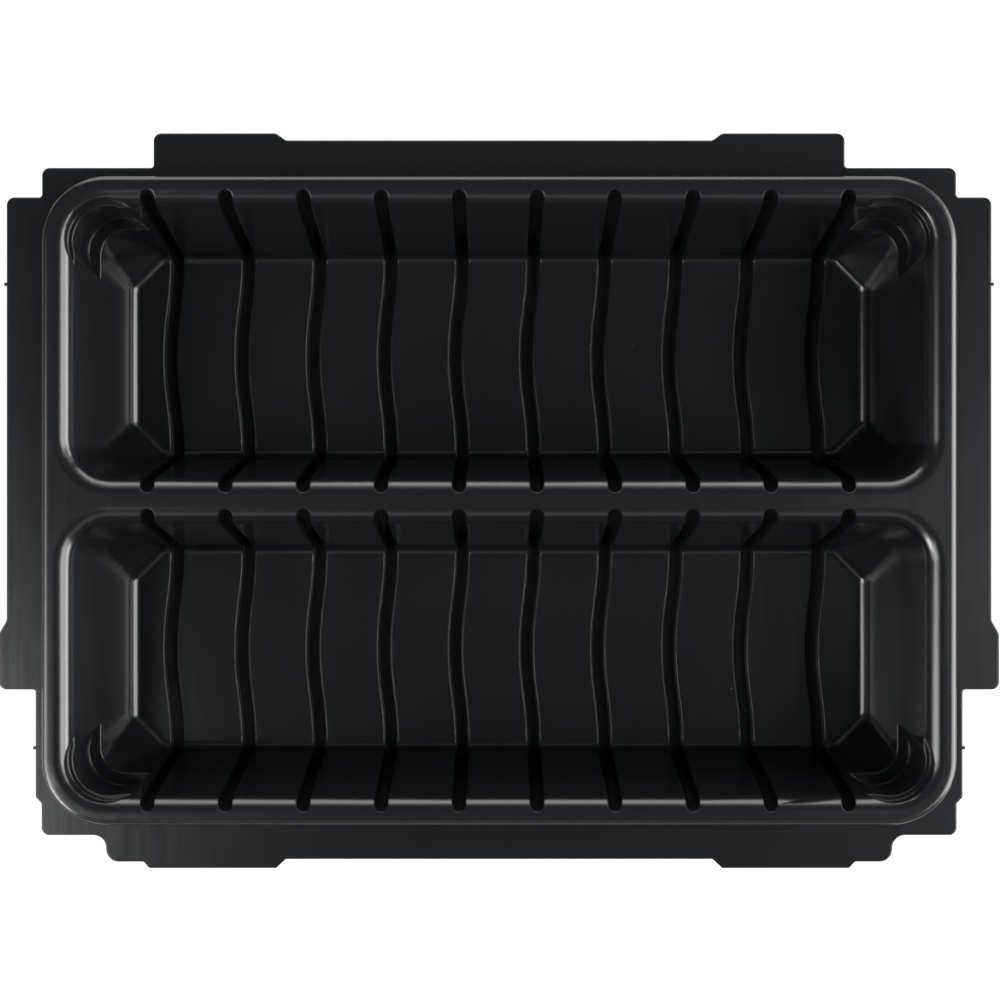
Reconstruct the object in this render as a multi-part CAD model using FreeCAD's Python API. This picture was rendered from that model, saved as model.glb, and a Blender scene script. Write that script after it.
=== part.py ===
import FreeCAD, Part
import math
import os

from FreeCAD import Vector

# Case insert tray: one sheet of plastic, vacuum formed into two deep tubs side by side.
# Millimetres. X runs along the tubs, Y across them, Z up. The tray stands on the undersides
# of its floor grooves at Z = 0, and the origin is below the middle of the flange.

# sheet: its underside has flats in place of roundings, with legs of this share of the radius
sheet_thickness = 1.5
flat_share = 0.55

# heights
tub_depth = 78.0
rim_height = 8.0

# raised rim round both tubs, measured in the plane of its top from the mouths outward
rim_end_margin = 10.5
rim_side_margin = 10.2
rim_corner_radius = 25.0
rim_draft = 5.0
rim_edge_radius = 2.5

# tubs, measured at the virtual sharp edge in the plane of the rim top
mouth_length = 331.0
mouth_width = 106.4
mouth_corner_radius = 15.6
mouth_edge_radius = 7.0
ridge_width = 16.3
wall_draft = 8.0
floor_edge_radius = 4.0

# leaning flats that cut the floor corners of a tub at 45 degrees
corner_cut = 13.9
corner_cut_lean = 18.7
corner_cut_radius = 5.0

# crescent ledges in the four outer corners, set in from the virtual corner of the mouth
ledge_setback = 14.3
upper_ledge_depth = 6.7
upper_ledge_radius = 16.0
upper_ledge_lip_radius = 2.5
lower_ledge_depth = 38.0
lower_ledge_radius = 14.0

# divider grooves
groove_count = 10
groove_pitch = 30.0
groove_width = 5.5
groove_wall_depth = 5.0
groove_floor_depth = 3.5
groove_shift = -0.45
groove_wave = 2.95
groove_wave_length = 80.0

# flange, measured outward from the rim: reaches along X past its ends
flange_end_reach = 15.0
upper_shoulder_reach = 1.3
side_tab_reach = 18.0
lower_waist_reach = 3.8
lower_shoulder_reach = 1.5

# reaches along Y past its long sides
upper_edge_reach = 4.35
upper_middle_reach = 15.0
long_tab_reach = 17.75
lower_edge_reach = 4.95
lower_ear_reach = 15.25
lower_middle_reach = 14.25

# places along the ends, from the middle of the tray
upper_shoulder_y = 117.65
side_tab_top = -51.7
side_tab_bottom = -73.2
lower_waist_bottom = -115.0
side_tab_slant = 5.2

# places along the long sides, from the middle of the tray
upper_tab_outer = 134.0
lower_tab_outer = 135.8
lower_ear_outer = 152.5
long_tab_inner = 86.5
long_tab_slant = 3.7
lower_ear_slant = 2.2

# corners of the flange
outline_radius = 3.0
outline_small_radius = 1.2
ear_radius = 5.0

# stubs left where the sheet was cut from its frame
stub_width = 1.2
stub_length = 1.0
upper_stub_y = 84.0
lower_stub_y = -95.9

# worked out from the sizes above
wall_slope = math.tan(math.radians(wall_draft))
rim_slope = math.tan(math.radians(rim_draft))
floor_z = sheet_thickness + groove_floor_depth
rim_z = floor_z + tub_depth
flange_z = rim_z - rim_height
half_length = mouth_length / 2
half_width = mouth_width / 2
tub_y = ridge_width / 2 + half_width
rim_half_length = half_length + rim_end_margin
rim_half_width = tub_y + half_width + rim_side_margin
floor_half_length = half_length - wall_slope * tub_depth
floor_half_width = half_width - wall_slope * tub_depth

# how far cutting shapes reach past what they cut, and grooves into the open tub
past = 10.0
lap = 0.5

# how far from its expected place an edge or face may lie and still be picked
tolerance = 0.05


def level(z):
    return Vector(0, 0, z)


def face_of(points):
    return Part.Face(Part.makePolygon(points + points[:1]))


# rounds edges of the visible side, where inset is 0, and cuts those of the underside flat
def soften(shape, edges, radius, inset):
    if inset == 0:
        return shape.makeFillet(radius, edges)
    return shape.makeChamfer(flat_share * radius, edges)


# solid from an outline of (y, z) pairs, centred on X = 0
def prism_along_x(outline, half):
    face = face_of([Vector(-half, y, z) for y, z in outline])
    return face.extrude(Vector(2 * half, 0, 0))


# solid from an outline of (x, z) pairs, centred on Y = 0
def prism_along_y(outline, half):
    face = face_of([Vector(x, -half, z) for x, z in outline])
    return face.extrude(Vector(0, 2 * half, 0))


# section through a block whose sides lean outward by growth per mm of height
def leaning_outline(half, growth, reference_z, low_z, high_z):
    low = half + growth * (low_z - reference_z)
    high = half + growth * (high_z - reference_z)
    return [(-low, low_z), (low, low_z), (high, high_z), (-high, high_z)]


# rounded rectangle with leaning sides and conical corners, sizes given at the reference height
def tapered_block(half_x, half_y, radius, growth, reference_z, low_z, high_z):
    middle_x = half_x - radius
    middle_y = half_y - radius
    low_radius = radius + growth * (low_z - reference_z)
    high_radius = radius + growth * (high_z - reference_z)
    along_x = leaning_outline(half_y, growth, reference_z, low_z, high_z)
    along_y = leaning_outline(half_x, growth, reference_z, low_z, high_z)
    parts = [prism_along_x(along_x, middle_x)]
    for x in (-middle_x, middle_x):
        for y in (-middle_y, middle_y):
            base = Vector(x, y, low_z)
            parts.append(Part.makeCone(low_radius, high_radius, high_z - low_z, base))
    block = prism_along_y(along_y, middle_y).fuse(parts)
    return block.removeSplitter()


# distance of the corner flats from the middle of a tub, along the diagonal
def cut_reach(z, inset):
    lean = math.radians(corner_cut_lean)
    at_floor = (floor_half_length + floor_half_width - corner_cut) / math.sqrt(2)
    return at_floor + math.tan(lean) * (z - floor_z) + inset / math.cos(lean)


# wedges that take the four floor corners off the hollow of a tub
def corner_wedges(inset):
    low_z = floor_z - inset - past
    far = cut_reach(rim_z, inset) + past
    outline = [
        (cut_reach(low_z, inset), low_z),
        (far, low_z),
        (far, rim_z),
        (cut_reach(rim_z, inset), rim_z),
    ]
    wedges = []
    for turn in (45, 135, 225, 315):
        wedge = prism_along_y(outline, mouth_width)
        wedge.rotate(Vector(), Vector(0, 0, 1), turn)
        wedges.append(wedge)
    return wedges


# edges at which the corner flats meet the walls of a tub
def flat_edges(space):
    found = []
    for edge in space.Edges:
        point = edge.valueAt((edge.FirstParameter + edge.LastParameter) / 2)
        diagonal = (abs(point.x) + abs(point.y)) / math.sqrt(2)
        on_flat = abs(diagonal - cut_reach(point.z, 0)) < tolerance
        if on_flat and point.z > floor_z + tolerance:
            found.append(edge)
    return found


# the hollow of one tub, centred on the origin and grown by inset on every side
def tub_space(inset):
    side = inset / math.cos(math.radians(wall_draft))
    low_z = floor_z - inset
    space = tapered_block(
        half_length + side,
        half_width + side,
        mouth_corner_radius + side,
        wall_slope,
        rim_z,
        low_z,
        rim_z + past,
    )
    space = space.cut(corner_wedges(inset))
    if inset == 0:
        space = space.makeFillet(corner_cut_radius, flat_edges(space))
    floor_edges = [edge for edge in space.Edges if edge.BoundBox.ZMax < low_z + tolerance]
    return soften(space, floor_edges, floor_edge_radius + inset, inset)


# corners (x, y, radius) of the right half of the flange, from the top middle to the bottom middle
def flange_half_outline():
    large = outline_radius
    small = outline_small_radius
    end_x = rim_half_length + flange_end_reach
    tab_x = rim_half_length + side_tab_reach
    waist_x = rim_half_length + lower_waist_reach
    upper_x = rim_half_length + upper_shoulder_reach
    lower_x = rim_half_length + lower_shoulder_reach
    tab_y = rim_half_width + long_tab_reach
    upper_y = rim_half_width + upper_edge_reach
    lower_y = -rim_half_width - lower_edge_reach
    ear_y = -rim_half_width - lower_ear_reach
    middle_x = long_tab_inner - long_tab_slant
    return [
        (middle_x, rim_half_width + upper_middle_reach, large),
        (long_tab_inner, tab_y, large),
        (upper_tab_outer, tab_y, large),
        (upper_tab_outer, upper_y, small),
        (upper_x, upper_y, large),
        (upper_x, upper_shoulder_y, small),
        (end_x, upper_shoulder_y, large),
        (end_x, side_tab_top + side_tab_slant, large),
        (tab_x, side_tab_top, large),
        (tab_x, side_tab_bottom, large),
        (waist_x, side_tab_bottom, small),
        (waist_x, lower_waist_bottom, small),
        (lower_x, lower_waist_bottom - 2 * small, small),
        (lower_x, lower_y, large),
        (lower_ear_outer, lower_y, ear_radius),
        (lower_ear_outer, ear_y, ear_radius),
        (lower_tab_outer + lower_ear_slant, ear_y, small),
        (lower_tab_outer, -tab_y, small),
        (long_tab_inner, -tab_y, small),
        (middle_x, -rim_half_width - lower_middle_reach, small),
    ]


# face with an arc of the given radius at each of its corners
def rounded_face(corners):
    edges = []
    ends = []
    count = len(corners)
    for i in range(count):
        x, y, radius = corners[i]
        here = Vector(x, y, 0)
        back = Vector(corners[i - 1][0], corners[i - 1][1], 0)
        ahead = Vector(corners[(i + 1) % count][0], corners[(i + 1) % count][1], 0)
        back = (back - here).normalize()
        ahead = (ahead - here).normalize()
        half_angle = back.getAngle(ahead) / 2
        trim = radius / math.tan(half_angle)
        to_centre = (back + ahead).normalize()
        crown = here + to_centre * (radius / math.sin(half_angle) - radius)
        ends.append((here + back * trim, here + ahead * trim))
        edges.append(Part.Arc(ends[-1][0], crown, ends[-1][1]).toShape())
    for i in range(count):
        edges.append(Part.LineSegment(ends[i][1], ends[(i + 1) % count][0]).toShape())
    return Part.Face(Part.Wire(Part.__sortEdges__(edges)))


# the flat sheet of the flange as a block from low_z up to high_z
def flange_block(low_z, high_z):
    right = flange_half_outline()
    left = [(-x, y, radius) for x, y, radius in reversed(right)]
    block = rounded_face(right + left).extrude(level(high_z - low_z))
    block.translate(level(low_z))
    stubs = []
    for side in (-1, 1):
        for reach, y in ((flange_end_reach, upper_stub_y), (lower_waist_reach, lower_stub_y)):
            inner = side * (rim_half_length + reach - stub_length)
            outer = side * (rim_half_length + reach + stub_length)
            corner = Vector(min(inner, outer), y - stub_width / 2, low_z)
            stubs.append(Part.makeBox(2 * stub_length, stub_width, high_z - low_z, corner))
    return block.fuse(stubs).removeSplitter()


# section of a groove square to the wall: its nose is half round, or half an octagon below the sheet
def wall_section(inset):
    radius = groove_width / 2 + inset
    centre_y = groove_wall_depth - groove_width / 2
    mouth = [Vector(radius, -lap, 0), Vector(-radius, -lap, 0)]
    if inset == 0:
        left = Vector(-radius, centre_y, 0)
        right = Vector(radius, centre_y, 0)
        nose = Part.Arc(left, Vector(0, centre_y + radius, 0), right).toShape()
        return Part.Face(Part.Wire([nose] + Part.makePolygon([right] + mouth + [left]).Edges))
    corner = radius * math.tan(math.pi / 8)
    left = [Vector(-radius, centre_y + corner, 0), Vector(-corner, centre_y + radius, 0)]
    right = [Vector(corner, centre_y + radius, 0), Vector(radius, centre_y + corner, 0)]
    return face_of(mouth + left + right)


# cutter for the stretch of a groove up the +Y wall of a tub
def wall_groove(inset):
    face = wall_section(inset)
    low_z = floor_z - groove_floor_depth - inset
    start_z = low_z - past
    face.rotate(Vector(), Vector(1, 0, 0), -wall_draft)
    face.translate(Vector(0, half_width - wall_slope * (rim_z - start_z), start_z))
    rise = rim_z + past - start_z
    cutter = face.extrude(Vector(0, wall_slope * rise, rise))
    keep = Part.makeBox(mouth_width, mouth_width, rise, Vector(-mouth_width / 2, 0, low_z))
    return cutter.common(keep)


# section of the floor stretch of a groove, reaching up into the rounding below the walls
def floor_section(inset, x, y):
    half = groove_width / 2 + inset
    low_z = floor_z - groove_floor_depth - inset
    high_z = floor_z + floor_edge_radius + inset
    outline = [(-half, low_z), (half, low_z), (half, high_z), (-half, high_z)]
    return face_of([Vector(x + across, y, z) for across, z in outline])


# cutter for the wavy stretch of a groove across the floor: three arcs between straight ends
def floor_groove(inset):
    quarter = groove_wave_length / 4
    radius = (quarter ** 2 + (groove_wave / 2) ** 2) / groove_wave
    turn = math.degrees(math.asin(quarter / radius))
    end_y = floor_half_width + lap
    up = Vector(0, 0, 1)
    middle = floor_section(inset, -groove_wave, 0)
    middle_centre = Vector(radius - groove_wave, 0, 0)
    middle.rotate(middle_centre, up, -turn)
    parts = [middle.revolve(middle_centre, up, 2 * turn)]
    for side in (-1, 1):
        y = side * 2 * quarter
        section = floor_section(inset, 0, y)
        parts.append(section.revolve(Vector(-radius, y, 0), up, -side * turn))
        parts.append(section.extrude(Vector(0, side * (end_y - 2 * quarter), 0)))
    return parts[0].fuse(parts[1:])


# cutter for one whole groove: down one wall, across the floor and up the other
def groove(inset):
    far = wall_groove(inset)
    near = far.mirror(Vector(), Vector(0, 1, 0))
    return floor_groove(inset).fuse([far, near]).removeSplitter()


# round stepped cutters that leave two crescent ledges in each outer corner, flared at the rim
def ledge_cutters(inset):
    lower_z = rim_z - lower_ledge_depth - inset
    lower_radius = lower_ledge_radius + inset
    upper_z = rim_z - upper_ledge_depth - inset
    upper_radius = upper_ledge_radius + inset
    lip_z = rim_z - upper_ledge_lip_radius
    lip_end = upper_ledge_radius + upper_ledge_lip_radius
    lip_foot = Vector(upper_radius, 0, lip_z)
    lip_head = Vector(lip_end, 0, rim_z - inset)
    lip = Part.makeLine(lip_foot, lip_head)
    if inset == 0:
        shift = upper_ledge_lip_radius / math.sqrt(2)
        lip = Part.Arc(lip_foot, Vector(lip_end - shift, 0, lip_z + shift), lip_head).toShape()
    rest = Part.makePolygon([
        lip_head,
        Vector(lip_end, 0, rim_z + past),
        Vector(0, 0, rim_z + past),
        Vector(0, 0, lower_z),
        Vector(lower_radius, 0, lower_z),
        Vector(lower_radius, 0, upper_z),
        Vector(upper_radius, 0, upper_z),
        lip_foot,
    ])
    one = Part.Face(Part.Wire([lip] + rest.Edges)).revolve(Vector(), level(1), 360)
    cutters = []
    for x_side in (-1, 1):
        for y_side in (-1, 1):
            x = x_side * (half_length - ledge_setback)
            y = y_side * (tub_y + half_width - ledge_setback)
            cutter = one.copy()
            cutter.translate(Vector(x, y, 0))
            cutters.append(cutter)
    return cutters


# the flange and the raised rim, solid all the way down
def rim_and_flange(inset):
    flange_top = flange_z - inset
    if inset == 0:
        low_z = -past
        ground = flange_block(low_z, flange_top)
    else:
        low_z = -2 * past
        wide = 2 * (rim_half_length + side_tab_reach + past)
        deep = 2 * (rim_half_width + long_tab_reach + past)
        corner = Vector(-wide / 2, -deep / 2, low_z)
        ground = Part.makeBox(wide, deep, flange_top - low_z, corner)
    side = inset / math.cos(math.radians(rim_draft))
    rim = tapered_block(
        rim_half_length - side,
        rim_half_width - side,
        rim_corner_radius - side,
        -rim_slope,
        rim_z,
        low_z,
        rim_z - inset,
    )
    if inset == 0:
        top_edges = [edge for edge in rim.Edges if edge.BoundBox.ZMin > rim_z - tolerance]
        rim = rim.makeFillet(rim_edge_radius, top_edges)
    return ground.fuse(rim).removeSplitter()


# everything that lies deeper than inset below the visible surface of the tray
def form(inset):
    body = rim_and_flange(inset)
    spaces = []
    for y in (-tub_y, tub_y):
        space = tub_space(inset)
        space.translate(Vector(0, y, 0))
        spaces.append(space)
    body = body.cut(spaces)
    land = [face for face in body.Faces if face.BoundBox.ZMin > rim_z - inset - tolerance][0]
    mouths = [wire for wire in land.Wires if not wire.isSame(land.OuterWire)]
    edges = [edge for wire in mouths for edge in wire.Edges]
    body = soften(body, edges, mouth_edge_radius - inset, inset)

    cutters = ledge_cutters(inset)
    one = groove(inset)
    for y in (-tub_y, tub_y):
        for i in range(groove_count):
            cutter = one.copy()
            x = groove_shift + (i - (groove_count - 1) / 2) * groove_pitch
            cutter.translate(Vector(x, y, 0))
            cutters.append(cutter)
    return body.cut(cutters)


os.makedirs("parts", exist_ok=True)
tray = form(0).cut(form(sheet_thickness)).removeSplitter()
print("solids", len(tray.Solids), "valid", tray.isValid(), "volume", round(tray.Volume))
print("box", tray.optimalBoundingBox(False))
tray.Solids[0].exportStep("parts/insert_tray.step")
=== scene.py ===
import math

import bmesh
import bpy
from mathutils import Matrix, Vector


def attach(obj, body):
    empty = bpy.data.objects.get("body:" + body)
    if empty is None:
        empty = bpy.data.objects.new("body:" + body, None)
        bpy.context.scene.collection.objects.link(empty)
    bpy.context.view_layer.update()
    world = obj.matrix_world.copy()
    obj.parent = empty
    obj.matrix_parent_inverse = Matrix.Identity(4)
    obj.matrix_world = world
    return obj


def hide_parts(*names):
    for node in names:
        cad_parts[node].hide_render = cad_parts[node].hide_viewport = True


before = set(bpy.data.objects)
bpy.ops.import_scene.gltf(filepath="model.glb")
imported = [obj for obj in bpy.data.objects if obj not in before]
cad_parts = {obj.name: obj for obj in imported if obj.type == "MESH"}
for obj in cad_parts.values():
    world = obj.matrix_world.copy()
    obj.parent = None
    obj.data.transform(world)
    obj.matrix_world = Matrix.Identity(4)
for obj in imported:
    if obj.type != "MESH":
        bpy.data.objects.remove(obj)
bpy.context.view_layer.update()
print("frame loaded")


class Value:  # a socket that takes part in sums like a number
    def __init__(self, tree, socket):
        self.tree = tree
        self.socket = socket

    def math(self, operation, *items):
        node = self.tree.nodes.new("ShaderNodeMath")
        node.operation = operation
        for place, item in enumerate(items):
            if isinstance(item, Value):
                self.tree.links.new(item.socket, node.inputs[place])
            else:
                node.inputs[place].default_value = item
        return Value(self.tree, node.outputs[0])

    def __add__(self, other):
        return self.math("ADD", self, other)

    __radd__ = __add__

    def __mul__(self, other):
        return self.math("MULTIPLY", self, other)

    __rmul__ = __mul__

    def __sub__(self, other):
        return self.math("SUBTRACT", self, other)

    def __rsub__(self, other):
        return self.math("SUBTRACT", other, self)

    def __gt__(self, other):
        return self.math("GREATER_THAN", self, other)

    def __lt__(self, other):
        return self.math("LESS_THAN", self, other)

    def __abs__(self):
        return self.math("ABSOLUTE", self)

    def cosine(self):
        return self.math("COSINE", self)

    def atMost(self, other):
        return self.math("MINIMUM", self, other)

    def atLeast(self, other):
        return self.math("MAXIMUM", self, other)

    def beside(self, name):  # another output of the same node
        return Value(self.tree, self.socket.node.outputs[name])


class Finish:  # a material and its nodes
    def __init__(self, name):
        self.material = bpy.data.materials.new(name)
        self.material.use_nodes = True
        self.tree = self.material.node_tree
        self.tree.nodes.clear()

    def node(self, kind, settings=None, inputs=None, output=0):
        node = self.tree.nodes.new(kind)
        for name, setting in (settings or {}).items():
            setattr(node, name, setting)
        for name, item in (inputs or {}).items():
            if isinstance(item, Value):
                self.tree.links.new(item.socket, node.inputs[name])
            else:
                node.inputs[name].default_value = item
        return Value(self.tree, node.outputs[output]) if node.outputs else None

    def split(self, vector):
        x = self.node("ShaderNodeSeparateXYZ", inputs={"Vector": vector}, output="X")
        return x, x.beside("Y"), x.beside("Z")

    def noise(self, place, scale, detail):
        inputs = {"Vector": place, "Scale": scale, "Detail": detail}
        return self.node("ShaderNodeTexNoise", inputs=inputs)

    def bump(self, height, distance, normal):
        inputs = {"Height": height, "Distance": distance, "Normal": normal}
        return self.node("ShaderNodeBump", inputs=inputs)

    def finished(self, shader):
        self.node("ShaderNodeOutputMaterial", inputs={"Surface": shader})
        return self.material


sheetLook = {
    "colour": (0.0038, 0.0052, 0.0056, 1),
    "roughness": 0.21,
    "roughnessSpread": 0.08,
    "patchScale": 14.0,
    "patchDetail": 3.0,
    "refraction": 1.52,
    "edgeRadius": 0.0009,  # as the sheet drapes over the edges of the mould
    "edgeSamples": 3,
    "grooveTop": 0.0047,  # the floor grooves lie below this; their lowered reflection there is painted shade in the recesses
    "grooveShadeFade": 0.0008,
    "grooveShadeRefraction": 1.28,
    "tubMiddle": 0.06135,  # the streaks bend as the grooves do, about the middle of each tub
    "wave": 0.00295,
    "waveReach": 0.040,
    "streakScale": 150.0,
    "streakLength": 0.06,
    "streakDetail": 2.0,
    "streakHeight": 0.00006,
    "unevenScale": 40.0,
    "unevenDetail": 1.0,
    "unevenHeight": 0.00012,
    "speckColour": (0.10, 0.11, 0.11, 1),
    "speckScale": 70.0,
    "speckSize": 0.018,
    "speckShare": 0.75,
}


def sheetStreaks(finish, x, y):
    look = sheetLook
    across = abs(abs(y) - look["tubMiddle"]).atMost(look["waveReach"])
    bend = (across * (math.pi / look["waveReach"])).cosine() * (look["wave"] / 2)
    inputs = {"X": x + bend, "Y": y * look["streakLength"]}
    place = finish.node("ShaderNodeCombineXYZ", inputs=inputs)
    return finish.noise(place, look["streakScale"], look["streakDetail"])


def sheetColour(finish, place):  # black, with a few specks of dust
    look = sheetLook
    inputs = {"Vector": place, "Scale": look["speckScale"]}
    distance = finish.node("ShaderNodeTexVoronoi", inputs=inputs, output="Distance")
    draw = finish.split(distance.beside("Color"))[0]
    specks = (distance < look["speckSize"]) * (draw > look["speckShare"])
    inputs = {0: specks, 6: look["colour"], 7: look["speckColour"]}
    return finish.node("ShaderNodeMix", {"data_type": "RGBA"}, inputs, output=2)


def blackSheet():
    look = sheetLook
    finish = Finish("blackSheet")
    place = finish.node("ShaderNodeTexCoord", output="Object")
    x, y, z = finish.split(place)
    patches = finish.noise(place, look["patchScale"], look["patchDetail"])
    roughness = patches * look["roughnessSpread"] + (look["roughness"] - look["roughnessSpread"] / 2)
    colour = sheetColour(finish, place)
    settings = {"samples": look["edgeSamples"]}
    rounded = finish.node("ShaderNodeBevel", settings, {"Radius": look["edgeRadius"]})
    uneven = finish.noise(place, look["unevenScale"], look["unevenDetail"])
    slow = finish.bump(uneven, look["unevenHeight"], rounded)
    normal = finish.bump(sheetStreaks(finish, x, y), look["streakHeight"], slow)
    facing = finish.split(place.beside("Normal"))[2]
    # painted shade: up-facing surfaces low in the floor grooves get a weaker reflection, so the
    # recesses render darker
    grooveShade = ((look["grooveTop"] - z) * (1 / look["grooveShadeFade"])).atLeast(0).atMost(1) * (facing > 0)
    shaders = {0: grooveShade}
    for slot, refraction in ((1, look["refraction"]), (2, look["grooveShadeRefraction"])):
        inputs = {"Base Color": colour, "Roughness": roughness, "IOR": refraction, "Normal": normal}
        shaders[slot] = finish.node("ShaderNodeBsdfPrincipled", inputs=inputs)
    return finish.finished(finish.node("ShaderNodeMixShader", inputs=shaders))


trayMesh = {
    "mergeWithin": 1e-6,
    "sharpAngle": 0.6,  # radians between two faces
    "faceWeight": 50,
}


def tray():
    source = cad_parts["insert_tray"]
    mesh = source.data.copy()
    mesh.transform(source.matrix_world)
    form = bmesh.new()
    form.from_mesh(mesh)
    bmesh.ops.remove_doubles(form, verts=form.verts, dist=trayMesh["mergeWithin"])
    for face in form.faces:
        face.smooth = True
    for edge in form.edges:
        edge.smooth = len(edge.link_faces) == 2 and edge.calc_face_angle() < trayMesh["sharpAngle"]
    form.to_mesh(mesh)
    form.free()
    mesh.materials.clear()
    mesh.materials.append(blackSheet())
    piece = bpy.data.objects.new("formedSheet", mesh)
    bpy.context.scene.collection.objects.link(piece)
    weigh = piece.modifiers.new("flatFacesFlat", "WEIGHTED_NORMAL")
    weigh.keep_sharp = True
    weigh.weight = trayMesh["faceWeight"]
    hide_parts("insert_tray")
    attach(piece, "root")


tray()
print("tray made")


groundLook = {
    "size": 60.0,
    "below": 0.0005,
    "colour": (0.92, 0.92, 0.92, 1),
    "white": (1, 1, 1, 1),
    "lift": 0.80,  # how much of the white shows; the rest keeps the tray's shadow
}


def whiteGround():
    look = groundLook
    finish = Finish("whiteGround")
    seen = finish.node("ShaderNodeLightPath", output="Is Camera Ray")
    seen = seen + seen.beside("Is Glossy Ray") + seen.beside("Is Transmission Ray")
    paper = finish.node("ShaderNodeBsdfDiffuse", inputs={"Color": look["colour"]})
    glow = finish.node("ShaderNodeEmission", inputs={"Color": look["white"], "Strength": 1.0})
    inputs = {0: seen * look["lift"], 1: paper, 2: glow}
    return finish.finished(finish.node("ShaderNodeMixShader", inputs=inputs))


def ground():
    half = groundLook["size"] / 2
    z = -groundLook["below"]
    mesh = bpy.data.meshes.new("ground")
    corners = [(-half, -half, z), (half, -half, z), (half, half, z), (-half, half, z)]
    mesh.from_pydata(corners, [], [(0, 1, 2, 3)])
    mesh.materials.append(whiteGround())
    floor = bpy.data.objects.new("ground", mesh)
    bpy.context.scene.collection.objects.link(floor)


ground()
print("ground laid")


lamps = {  # lean: degrees from straight above, turn: degrees round from the right-hand end
    "rightWindow": {"lean": 58, "turn": -10, "size": (1.1, 1.3), "power": 34.0},
    "rightLow": {"lean": 82, "turn": 0, "size": (1.6, 0.5), "power": 19.0},
    "rightFar": {"lean": 70, "turn": 28, "size": (0.8, 0.9), "power": 5.0},
    "rightHigh": {"lean": 40, "turn": 0, "size": (0.9, 0.35), "power": 2.4},
    "leftSoft": {"lean": 58, "turn": 205, "size": (0.8, 0.8), "power": 10.0},
    "leftNear": {"lean": 62, "turn": 216, "size": (0.5, 0.5), "power": 10.0},
    "leftHigh": {"lean": 42, "turn": 190, "size": (0.6, 0.5), "power": 4.6},
    "farStrip": {"lean": 76, "turn": 90, "size": (1.6, 0.6), "power": 15.0},
    "farHigh": {"lean": 55, "turn": 90, "size": (1.4, 0.4), "power": 1.4},
    "nearStrip": {"lean": 52, "turn": 270, "size": (1.6, 0.6), "power": 1.9},
    "overLeft": {"lean": 31, "turn": 204, "size": (0.35, 0.35), "power": 1.7},
    "overRight": {"lean": 21, "turn": -6, "size": (0.22, 0.25), "power": 0.09},
}
room = {
    "lampReach": 1.3,
    "lampAim": Vector((0, 0, 0.05)),
    "colour": (1, 1, 1, 1),
    "strength": 0.055,
}


def light(name, facts):
    data = bpy.data.lights.new(name, "AREA")
    data.shape = "RECTANGLE"
    data.size, data.size_y = facts["size"]
    data.energy = facts["power"]
    lamp = bpy.data.objects.new(name, data)
    lean, turn = math.radians(facts["lean"]), math.radians(facts["turn"])
    out = Vector((math.sin(lean) * math.cos(turn), math.sin(lean) * math.sin(turn), math.cos(lean)))
    lamp.location = room["lampAim"] + out * room["lampReach"]
    lamp.rotation_euler = (-out).to_track_quat("-Z", "Y").to_euler()
    bpy.context.scene.collection.objects.link(lamp)


def surroundings():
    world = bpy.data.worlds.new("room")
    world.use_nodes = True
    background = world.node_tree.nodes["Background"]
    background.inputs["Color"].default_value = room["colour"]
    background.inputs["Strength"].default_value = room["strength"]
    bpy.context.scene.world = world


for lampName, lampFacts in lamps.items():
    light(lampName, lampFacts)
surroundings()
print("lights placed")


view = {
    "above": (-0.00045, -0.0071),
    "distance": 0.8,
    "rimHeight": 0.083,
    "pixelsPerMetre": 2603.3,  # in the plane of the rim
    "below": (498, 519),  # the pixel straight below the camera
    "pictureSide": 1000,
    "sensor": 36,
}


def camera():
    side = view["pictureSide"]
    data = bpy.data.cameras.new("camera")
    data.sensor_width = view["sensor"]
    data.lens = view["sensor"] * view["pixelsPerMetre"] * view["distance"] / side
    data.shift_x = (side / 2 - view["below"][0]) / side
    data.shift_y = (view["below"][1] - side / 2) / side
    eye = bpy.data.objects.new("camera", data)
    eye.location = (*view["above"], view["rimHeight"] + view["distance"])
    bpy.context.scene.collection.objects.link(eye)
    bpy.context.scene.camera = eye


camera()
bpy.context.scene.view_settings.view_transform = "Standard"
print("camera set")
